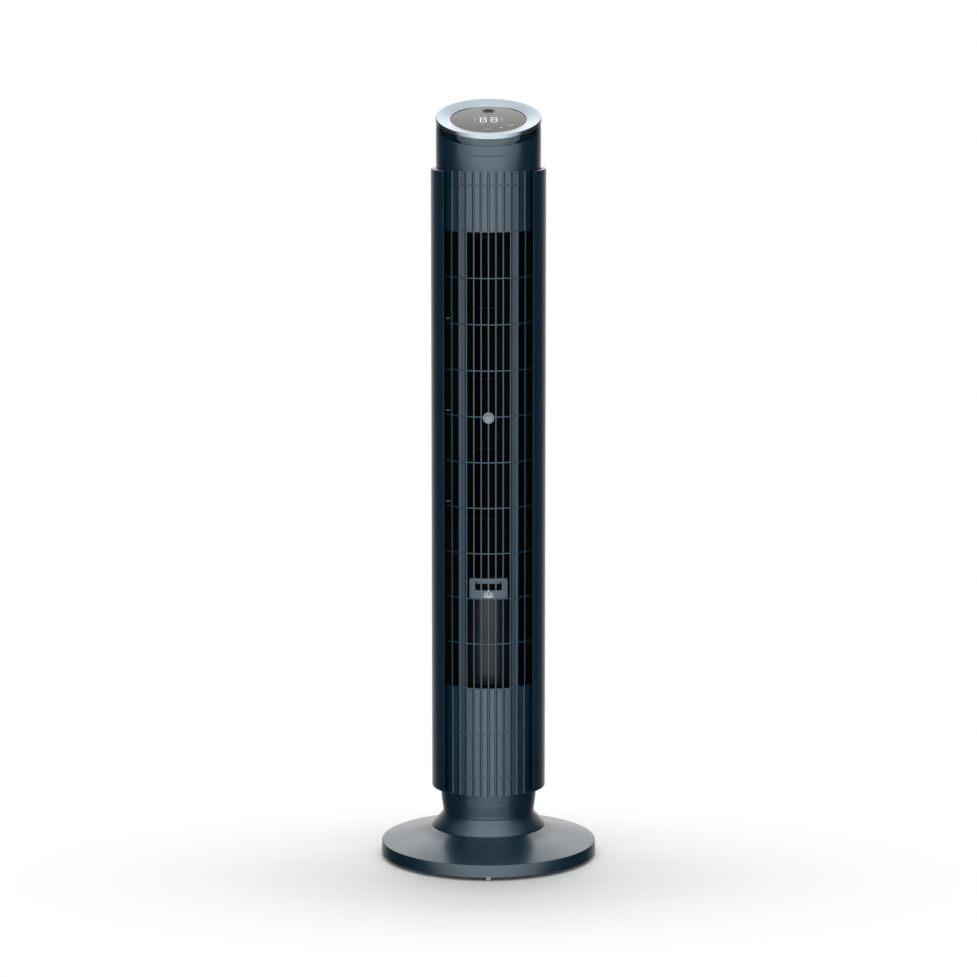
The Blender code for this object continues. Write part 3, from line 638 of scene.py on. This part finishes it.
# ---------------------------------------- side shells
# Two plain curved shells of the same lacquered ABS cover the seams between the
# grilles. They are hollow behind, stand proud, and their ends are cut front to back.
def prism(name, outline, low, high, edge, segments=3):
    """A flat outline of (x, y) points made thick upwards, with its edges rounded."""
    bm = bmesh.new()
    lower = [bm.verts.new((x, y, low)) for x, y in outline]
    bm.faces.new(lower)
    raised = bmesh.ops.extrude_face_region(bm, geom=bm.faces[:])["geom"]
    bmesh.ops.translate(bm, vec=(0.0, 0.0, high - low),
                        verts=[part for part in raised if isinstance(part, bmesh.types.BMVert)])
    bmesh.ops.recalc_face_normals(bm, faces=bm.faces)
    corners = [edge_here for edge_here in bm.edges
               if edge_here.calc_face_angle(0.0) > math.radians(40)]
    bmesh.ops.bevel(bm, geom=corners, offset=edge, segments=segments, profile=0.5,
                    affect="EDGES")
    return to_object(name, bm)


def arc(start, end, radius, count, centre=(0.0, 0.0)):
    """Points along an arc in plan, with angles measured from the front towards +X."""
    angles = [start + (end - start) * step / count for step in range(count + 1)]
    return [(centre[0] + radius * math.sin(angle), centre[1] - radius * math.cos(angle))
            for angle in angles]


shell_low, shell_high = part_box("right_shell")
shell_r = shell_high.x
shell_inner_r = wall_r + 0.00035
shell_wall = 0.0025
shell_edge = 0.0592
outer_start = math.asin(shell_edge / shell_r)
inner_start = math.asin((shell_edge - 0.0006) / shell_inner_r)
for name, side in (("right_shell", 1), ("left_shell", -1)):
    outline = (arc(side * outer_start, side * (math.pi - outer_start), shell_r, 56)
               + arc(side * (math.pi - inner_start), side * inner_start, shell_inner_r, 56))
    shell = prism(f"{name}_cover", outline, shell_low.z, shell_high.z, 0.0009)
    first = side * (inner_start + shell_wall / shell_r)
    last = side * math.pi - first
    behind = (arc(first, last, shell_r - shell_wall, 56)
              + arc(last, first, shell_inner_r - shell_wall, 56))
    cut_out(shell, prism("hollow", behind, shell_low.z + shell_wall, shell_high.z - shell_wall,
                         0.0002, 1))
    lacquered(shell, "tower", name)

# ---------------------------------------- badge
# A small disc of spun aluminium on the middle rib, with a raised rim. The real
# one carries a mark; this one is plain.
spun_metal, surface = new_finish("spun_aluminium", "6E787D", 0.24, Metallic=1.0,
                                 Anisotropic=0.8)
tree = spun_metal.node_tree
turning = add_node(tree, "ShaderNodeTangent", direction_type="RADIAL", axis="Y")
tree.links.new(turning.outputs["Tangent"], surface.inputs["Tangent"])
place = add_node(tree, "ShaderNodeTexCoord").outputs["Object"]
grooves = add_node(tree, "ShaderNodeTexWave", {"Vector": place, "Scale": 1 / 0.0012},
                   wave_type="RINGS", rings_direction="Y")
relief(surface, grooves.outputs["Fac"], 0.000004)
badge_low, badge_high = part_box("grille_badge")
badge_r = (badge_high.x - badge_low.x) / 2
badge_thick = badge_high.y - badge_low.y
badge_z = (badge_low.z + badge_high.z) / 2
badge = lathe("plain_badge", [
    (0.0, badge_thick - 0.0011, 0.0), (badge_r * 0.30, badge_thick - 0.0008, 0.002),
    (badge_r * 0.70, badge_thick - 0.0005, 0.0004), (badge_r * 0.78, badge_thick, 0.0003),
    (badge_r, badge_thick, 0.0005), (badge_r, 0.0, 0.0002), (0.0, 0.0, 0.0)], 72, closed=False)
badge.data.transform(Matrix.Rotation(math.radians(90), 4, "X"))
badge.location = (0.0, badge_high.y, badge_z)
fit(badge, "tower", "badge_metal", spun_metal, "grille_badge")


# ---------------------------------------- aroma drawer
# A little drawer in the front grille for a scented pad. Its lacquered front is
# curved like the grille, with four windows, a bar behind their tops that retains
# the pad, and a small printed leaf. A black tray behind it holds the pad.
def bent_plate(name, outline, holes, radius, thickness, edge=0.0):
    """A flat outline of (across, up) points wrapped round the tower at a radius."""
    curve = bpy.data.curves.new(name, "CURVE")
    curve.dimensions = "2D"
    curve.fill_mode = "BOTH"
    curve.extrude = thickness / 2 - edge
    curve.bevel_depth = edge
    curve.bevel_resolution = 2
    curve.offset = -edge
    for loop in [outline, *holes]:
        spline = curve.splines.new("POLY")
        spline.points.add(len(loop) - 1)
        for point, (across, up) in zip(spline.points, loop):
            point.co = (across, up, 0.0, 1.0)
        spline.use_cyclic_u = True
    flat = bpy.data.objects.new(name, curve)
    scene.collection.objects.link(flat)
    mesh = as_mesh(flat)
    bpy.data.objects.remove(flat, do_unlink=True)
    bm = bmesh.new()
    bm.from_mesh(mesh)
    bmesh.ops.remove_doubles(bm, verts=bm.verts, dist=0.000002)
    slice_width = 0.0012
    widest = max(across for across, up in outline)
    leftmost = min(across for across, up in outline)
    for step in range(1, math.ceil((widest - leftmost) / slice_width)):
        bmesh.ops.bisect_plane(bm, geom=bm.verts[:] + bm.edges[:] + bm.faces[:], dist=1e-7,
                               plane_co=(leftmost + step * slice_width, 0.0, 0.0),
                               plane_no=(1.0, 0.0, 0.0))
    for vert in bm.verts:
        across, up, depth = vert.co
        outward = radius + thickness / 2 + depth
        vert.co = (across, -math.sqrt(outward ** 2 - across ** 2), up)
    return to_object(name, bm)


def round_rectangle(left, low, right, high, radius):
    """Points round a rectangle with rounded corners."""
    corners = [(x, y, radius) for x, y in ((left, low), (right, low), (right, high), (left, high))]
    return [tuple(point) for point in rounded_path(corners)]


plate_half = tray_high.x
window_half = 0.0178
window_z = (0.3796, 0.3918)
bar_half = 0.0010
sides = [-window_half, -rib_pitch - bar_half, -rib_pitch + bar_half, -bar_half,
         bar_half, rib_pitch - bar_half, rib_pitch + bar_half, window_half]
windows = [round_rectangle(left, window_z[0], right, window_z[1], 0.0006)
           for left, right in zip(sides[::2], sides[1::2])]
plate_back_r = wall_r + rib_high + 0.0003
plate_thick = 0.0012
front_plate = bent_plate("drawer_front", round_rectangle(
    -plate_half, tray_low.z, plate_half, tray_high.z, 0.0032), windows,
    plate_back_r, plate_thick, 0.0003)
lacquered(front_plate, "drawer", "aroma_tray")

cup_half = 0.0205
cup_low = 0.3700
cup_high = 0.3930
cup_wall = 0.0015
bar_low = 0.3884
retainer = bent_plate("pad_retainer", round_rectangle(
    -window_half - 0.0010, bar_low, window_half + 0.0010, window_z[1] + 0.0008, 0.0008), [],
    plate_back_r - 0.0011, 0.0010, 0.0004)
lacquered(retainer, "drawer")

cup = block("drawer_cup", (-cup_half, -0.0700, cup_low), (cup_half, tray_high.y, cup_high), 0.0006)
pocket = block("pocket", (-cup_half + cup_wall, -0.0650, cup_low + cup_wall),
               (cup_half - cup_wall, tray_high.y - cup_wall, cup_high + 0.0100), 0.0005)
openings = [block("opening", (left, -0.0800, window_z[0]), (right, -0.0600, bar_low))
            for left, right in zip(sides[::2], sides[1::2])]
cut_out(cup, pocket, *openings)
fit(cup, "drawer", "black_plastic", black_abs)


def leaf(root, tip, width, shrink=0.0):
    """The outline of a pointed leaf from its root to its tip."""
    root, tip = Vector(root), Vector(tip)
    along = (tip - root).normalized()
    across = Vector((-along.y, along.x))
    start, end = root + along * shrink * 2, tip - along * shrink * 2
    shares = [step / 12 for step in range(13)]
    right = [start.lerp(end, share) + across * (width / 2 - shrink) * math.sin(math.pi * share)
             for share in shares]
    left = [start.lerp(end, share) - across * (width / 2 - shrink) * math.sin(math.pi * share)
            for share in reversed(shares[1:-1])]
    return [tuple(point) for point in right + left]


print_grey, surface = new_finish("pad_printed_grey", "C4CCD0", 0.55, IOR=1.5)
grain(surface, 0.0003, 0.000004)
leaf_root = (0.0, tray_low.z + 0.0016)
stroke = 0.0006
leaves = [(0.0, 0.0104, 0.0042), (0.0052, 0.0068, 0.0034), (-0.0052, 0.0068, 0.0034),
          (0.0072, 0.0024, 0.0024), (-0.0072, 0.0024, 0.0024)]
for number, (across, up, width) in enumerate(leaves):
    tip = (across, leaf_root[1] + up)
    mark = bent_plate(f"leaf_print_{number + 1}", leaf(leaf_root, tip, width),
                      [leaf(leaf_root, tip, width, stroke)], plate_back_r + plate_thick, 0.00004)
    fit(mark, "drawer", "petrol_plastic", print_grey)

# The pad is charcoal wool felt, pressed, soft edged and a little uneven. Its near-black colour is
# partly painted shade, darker than the felt so that the windows read as shaded.
felt, surface = new_finish("wool_felt_painted_shade", "0C0C0D", 0.95, Specular_IOR_Level=0.1,
                           Sheen_Weight=0.03, Sheen_Roughness=0.5)
tint(surface, "070708", "131314", 0.0012, 6.0)
grain(surface, 0.0005, 0.00015, 6.0)
pad_low, pad_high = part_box("aroma_pad")
pad_middle = (pad_low + pad_high) / 2
bm = bmesh.new()
bmesh.ops.create_cube(bm, size=1.0)
bmesh.ops.scale(bm, vec=pad_high - pad_low, verts=bm.verts)
bmesh.ops.translate(bm, vec=pad_middle, verts=bm.verts)
bmesh.ops.bevel(bm, geom=bm.edges[:], offset=0.0018, segments=3, profile=0.5, affect="EDGES")
bmesh.ops.subdivide_edges(bm, edges=bm.edges[:], cuts=3, use_grid_fill=True)
for vert in bm.verts:
    ripple = math.sin(vert.co.x * 900) * math.sin(vert.co.z * 1100 + 1.3)
    vert.co += (vert.co - pad_middle).normalized() * 0.00012 * (ripple - 1)
pad = fit(to_object("felt_pad", bm), "drawer", "felt", felt, "aroma_pad")

# ---------------------------------------- air path
# Black panels inside the tower guide the air from the impeller to the slots.
# They are plain textured ABS, held between the two decks.
inner_black = moulded_black("matt_black_abs", "020203", 0.80, 0.0009, 0.00003, 0.12)
dress(inner_black, "lower_deck", "upper_deck", "scroll_panel", "stabiliser_panel", "side_baffle",
      "motor_deck")
dress(rubber, "bearing_holder")
dress(bronze, "bearing_bush")

# ---------------------------------------- motor
# The fan motor stands on the lower deck in a smooth shroud of satin charcoal ABS,
# which shows through the lowest slots. The windings are enamelled copper.
shroud_low, shroud_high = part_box("motor_shroud")
fan_y = (shroud_low.y + shroud_high.y) / 2
shroud_r = shroud_high.x
shroud = lathe("motor_shroud_tube", [
    (shroud_r, shroud_high.z, 0.0006), (shroud_r, shroud_low.z, 0.0003),
    (shroud_r - 0.002, shroud_low.z, 0.0003), (shroud_r - 0.002, shroud_high.z, 0.0006)], 112,
    (0.0, fan_y))
satin_abs, surface = new_finish("satin_charcoal_abs", "20262D", 0.30, IOR=1.53,
                                Specular_IOR_Level=0.42)
uneven(surface, 0.03, 0.27, 0.34)
grain(surface, 0.0012, 0.000002)
fit(shroud, "tower", "petrol_plastic", satin_abs, "motor_shroud")
copper, surface = new_finish("enamelled_copper_winding", "9A4E22", 0.30, Metallic=1.0)
tree = copper.node_tree
place = add_node(tree, "ShaderNodeTexCoord").outputs["Object"]
turns = add_node(tree, "ShaderNodeTexWave", {"Vector": place, "Scale": 1 / 0.004,
                                             "Distortion": 0.6}, bands_direction="Z")
relief(surface, turns.outputs["Fac"], 0.0003)
dress(copper, "motor_stator")
dress(plated_steel, "motor_housing", "motor_rotor", "motor_shaft")


# ---------------------------------------- impeller
# Five drums of curved blades, moulded in black glass-filled nylon and stacked on
# the motor's shaft, with a cap and a stub for the top bearing.
def impeller_drum(name, bottom, top, radius):
    """One drum: a disc with a ring of curved blades standing on it."""
    blade_count = 30
    blade_thick = 0.0011
    disc_thick = 0.0020
    curve_steps = 6
    bm = bmesh.new()
    for blade in range(blade_count):
        turn = 2 * math.pi * blade / blade_count
        sections = []
        for step in range(curve_steps + 1):
            share = step / curve_steps
            reach_here = radius - 0.0095 + 0.0092 * share
            sweep = turn + 0.16 * math.sin(share * math.pi / 2) + 0.02 * share
            half = blade_thick / 2 / reach_here * (1 - 0.5 * abs(2 * share - 1))
            pair = []
            for side in (-1, 1):
                angle = sweep + side * half
                x, y = reach_here * math.sin(angle), -reach_here * math.cos(angle) + fan_y
                pair.append([bm.verts.new((x, y, level)) for level in (bottom + disc_thick / 2, top)])
            sections.append(pair)
        for (left, right), (next_left, next_right) in zip(sections, sections[1:]):
            bm.faces.new([left[0], next_left[0], next_left[1], left[1]])
            bm.faces.new([right[1], next_right[1], next_right[0], right[0]])
            bm.faces.new([left[1], next_left[1], next_right[1], right[1]])
            bm.faces.new([right[0], next_right[0], next_left[0], left[0]])
        for (left, right) in (sections[0], sections[-1]):
            bm.faces.new([left[0], left[1], right[1], right[0]])
    drum = to_object(name, bm, 40)
    plate = lathe("drum_plate", [(0.0, bottom + disc_thick, 0.0), (radius, bottom + disc_thick, 0.0004),
                                 (radius, bottom, 0.0004), (0.0, bottom, 0.0)], 96, (0.0, fan_y),
                  closed=False)
    joined = bmesh.new()
    joined.from_mesh(drum.data)
    joined.from_mesh(plate.data)
    joined.to_mesh(drum.data)
    joined.free()
    bpy.data.objects.remove(plate, do_unlink=True)
    return drum


nylon = moulded_black("glass_filled_nylon", "030304", 0.70, 0.0010, 0.00003, 0.2)
for number in range(1, 6):
    node = f"impeller_drum_{number}"
    low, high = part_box(node)
    drum = impeller_drum(f"bladed_drum_{number}", low.z, high.z, (high.x - low.x) / 2)
    fit(drum, "impeller", "black_plastic", nylon, node)
dress(nylon, "impeller_cap")

# ---------------------------------------- head
# The housing of the controls: a plain lacquered tube with its top cut to a
# slope that falls towards the front.
slope = math.radians(16)
fall = math.tan(slope)


def lean(piece, level=-1.0):
    """Shear what lies above a level to the slope of the head."""
    for vert in piece.data.vertices:
        if vert.co.z > level:
            vert.co.z += vert.co.y * fall
    return piece


head_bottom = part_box("head_housing")[0].z
head_top = 0.9900
head_inner_r = wall_r - 0.0024
head = lathe("head_shell", [
    (wall_r, head_top, 0.0002), (wall_r, grille_high.z, 0.0002),
    (wall_r - 0.0045, grille_high.z, 0.0), (wall_r - 0.0045, head_bottom, 0.0),
    (0.0636, head_bottom, 0.0003), (0.0636, 0.9420, 0.0), (head_inner_r, 0.9440, 0.0),
    (head_inner_r, head_top, 0.0002)], 160)
lean(head, head_top - 0.001)
lacquered(head, "tower", "head_housing")

# A hairline lies across the front of the head, in line with the slope: a flat, dull strip whose dark
# colour is painted shade, standing for a fine groove.
painted_groove_shade, surface = new_finish("hairline_painted_groove_shade", "0F222D", 0.6, IOR=1.5)
grain(surface, 0.0003, 0.00001)
line_half = 0.0290
line_z = 0.9566
line_thick = 0.0008
shares = [step / 24 * 2 - 1 for step in range(25)]
below = [(share * line_half, line_z + 0.0026 * share ** 2) for share in shares]
above = [(x, z + line_thick * (1 - share ** 8))
         for share, (x, z) in reversed(list(zip(shares, below)))]
hairline = bent_plate("painted_shade_hairline", below + above, [], wall_r, 0.00004)
fit(hairline, "tower", "petrol_plastic", painted_groove_shade)

# ---------------------------------------- smoked band
# A band of smoked polycarbonate under the ring, polished, which the remote's
# signal passes through.
smoked, surface = new_finish("smoked_polycarbonate", "04161F", 0.07, IOR=1.585,
                             Specular_Tint=(0.76, 0.90, 1.0, 1.0), Specular_IOR_Level=0.82)
uneven(surface, 0.03, 0.05, 0.09)
band_low = 0.9903
band_top = 0.9994
band = lathe("smoked_window_band", [
    (wall_r - 0.0002, band_top, 0.0003), (wall_r - 0.0002, band_low - 0.0002, 0.0003),
    (0.0664, band_low - 0.0002, 0.0), (0.0664, band_top, 0.0)], 160)
fit(lean(band), "tower", "smoked_plastic", smoked, "smoked_band")

# ---------------------------------------- trim ring
# The dished ring round the control panel: a moulding with a pale silver-blue
# lacquer, whose fine flake keeps it light from every side. Its lip is rounded.
metallic_blue, surface = new_finish("metallic_lacquer", "9CABB5", 0.18, Metallic=0.95,
                                    Coat_Weight=0.5, Coat_Roughness=0.08)
tint(surface, "98A8B3", "A0AEB8", 0.03)
grain(surface, 0.0004, 0.0000015, 2.0)
ring_r = 0.0702
ring_top = 1.0050
panel_r = 0.0504
well = panel_r + 0.0003
ring = lathe("dished_trim_ring", [
    (well, 1.0016, 0.0004), (ring_r - 0.0009, ring_top, 0.0009), (ring_r, ring_top - 0.0012, 0.0009),
    (ring_r, band_top + 0.0001, 0.0004), (0.0660, band_top + 0.0001, 0.0), (0.0660, 0.9850, 0.0),
    (0.0642, 0.9850, 0.0), (0.0642, 0.9965, 0.0), (panel_r - 0.0024, 0.9955, 0.0),
    (panel_r - 0.0024, 0.9979, 0.0), (well, 0.9979, 0.0)], 160)
fit(lean(ring), "tower", "ring_lacquer", metallic_blue, "trim_ring")

# ---------------------------------------- control panel
# The touch panel: smoke-grey acrylic with a polished face, let into the ring,
# with a round hole for the power button.
acrylic, surface = new_finish("smoke_grey_acrylic", "262524", 0.10, IOR=1.45)
uneven(surface, 0.02, 0.08, 0.13)
panel_top = 1.0010
button_y = 0.032
button_r = 0.0075
panel = lathe("touch_panel", [(0.0, panel_top, 0.0), (panel_r, panel_top, 0.0004),
                              (panel_r, 0.9982, 0.0002), (0.0, 0.9982, 0.0)], 128, closed=False)
lean(panel)
hole = lathe("hole", [(0.0, 0.01, 0.0), (button_r + 0.0003, 0.01, 0.0),
                      (button_r + 0.0003, -0.01, 0.0), (0.0, -0.01, 0.0)], 64, closed=False)
onto_slope = (Matrix.Translation((0.0, button_y, panel_top + button_y * fall))
              @ Matrix.Rotation(slope, 4, "X"))
hole.data.transform(onto_slope)
cut_out(panel, hole)
fit(panel, "tower", "panel_plastic", acrylic, "control_panel")


def on_panel(bm, points):
    """Lay a flat outline of (x, y) points on the panel's face."""
    bm.faces.new([bm.verts.new((x, y, panel_top + 0.00003 + y * fall)) for x, y in points])


def bar(bm, start, end, half):
    """Lay a straight stroke with pointed ends, as the bars of a number display have."""
    start, end = Vector(start), Vector(end)
    along = (end - start).normalized() * half
    across = Vector((-along.y, along.x))
    on_panel(bm, [start, start + along + across, end - along + across, end,
                  end - along - across, start + along - across])


def curl(bm, centre, radius, start, end, half):
    """Lay a curved stroke, from one angle to another round a centre."""
    def spot(angle, reach_here):
        return (centre[0] + reach_here * math.cos(angle), centre[1] + reach_here * math.sin(angle))
    angles = [math.radians(start + (end - start) * step / 14) for step in range(15)]
    on_panel(bm, [spot(angle, radius + half) for angle in angles]
             + [spot(angle, radius - half) for angle in reversed(angles)])


# Two lit digits show through the acrylic, each made of seven bars.
glow, surface = new_finish("lit_white_bars", "F4F6F8", 0.5, Emission_Color=linear("F4F6F8"),
                           Emission_Strength=0.55)
grain(surface, 0.0005, 0.000002)
bm = bmesh.new()
digit_half = 0.0038
digit_rise = 0.0084
digit_y = -0.0008
for digit_x in (-0.0070, 0.0075):
    for level in (-1, 0, 1):
        here = digit_y + level * digit_rise
        bar(bm, (digit_x - digit_half + 0.0004, here), (digit_x + digit_half - 0.0004, here), 0.0006)
    for side in (-1, 1):
        for low, high in ((-1, 0), (0, 1)):
            x = digit_x + side * digit_half
            bar(bm, (x, digit_y + low * digit_rise + 0.0007),
                (x, digit_y + high * digit_rise - 0.0007), 0.0005)
fit(to_object("display_digits", bm), "tower", "panel_plastic", glow)

# Small printed marks for the touch keys stand round the digits.
bm = bmesh.new()
for x in (-0.0121, -0.0042, 0.0034, 0.0121):
    curl(bm, (x, 0.0150), 0.0005, 0, 360, 0.0005)
for side_x in (-0.0180, 0.0170):
    curl(bm, (side_x, 0.0070), 0.0016, 20, 320, 0.0003)
    curl(bm, (side_x, -0.0010), 0.0014, 200, 480, 0.0003)
    bar(bm, (side_x - 0.0016, -0.0088), (side_x + 0.0016, -0.0088), 0.0004)
bar(bm, (-0.0052, -0.0362), (0.0046, -0.0362), 0.0005)
bar(bm, (0.0262, -0.0185), (0.0294, -0.0245), 0.0005)
bar(bm, (0.0292, -0.0245), (0.0324, -0.0185), 0.0005)
curl(bm, (0.0168, -0.0305), 0.0008, 0, 360, 0.0006)
bar(bm, (-0.0030, 0.0236), (0.0030, 0.0236), 0.0003)
print_white, surface = new_finish("screen_print_white", "D4D7D9", 0.5, IOR=1.5)
grain(surface, 0.0003, 0.000003)
fit(to_object("key_prints", bm), "tower", "panel_plastic", print_white)
bm = bmesh.new()
for radius in (0.0026, 0.0052):
    curl(bm, (-0.0290, -0.0240), radius, 30, 150, 0.0005)
print_faint, surface = new_finish("screen_print_grey", "7C7E80", 0.5, IOR=1.5)
grain(surface, 0.0003, 0.000003)
fit(to_object("faint_key_print", bm), "tower", "panel_plastic", print_faint)

# ---------------------------------------- power button
# The one real button, dished for a fingertip, in the same acrylic. Its near-black colour
# is partly its own darker tint and partly painted shade, standing for the shade in its dish.
# It slides in the panel's hole and rests on the switch below.
button_painted_shade, surface = new_finish("button_acrylic_painted_shade", "050606", 0.16, IOR=1.49,
                                   Specular_IOR_Level=0.25)
uneven(surface, 0.01, 0.13, 0.20)
dish = 0.0020
dish_path = [(button_r * share, -dish * (1 - share ** 2), 0.0)
             for share in (0.0, 0.15, 0.3, 0.45, 0.6, 0.75, 0.9)]
button = lathe("dished_power_button", dish_path + [
    (button_r - 0.0001, 0.0, 0.0002), (button_r, -0.0004, 0.0002), (button_r, -0.0050, 0.0),
    (0.0, -0.0050, 0.0)], 64, closed=False)
button.data.transform(onto_slope)
fit(button, "button", "panel_plastic", button_painted_shade, "power_button")

# ---------------------------------------- electronics
# The control board under the panel and the power board in the tower are green
# glass-epoxy, joined by one black loom that runs up inside the casing.
epoxy, surface = new_finish("green_solder_mask", "1E5A34", 0.34, IOR=1.55)
tint(surface, "174B2B", "27683E", 0.0022, 1.0)
grain(surface, 0.0016, 0.00003, 0.0)
vinyl = moulded_black("soft_pvc", "141415", 0.42, 0.0020, 0.00004)
part_black = moulded_black("component_epoxy", "101112", 0.36, 0.0005, 0.00001)
dress(epoxy, "circuit_board", "power_board")
dress(part_black, "display_module", "tact_switch", "ir_receiver")
dress(vinyl, "wiring_loom")
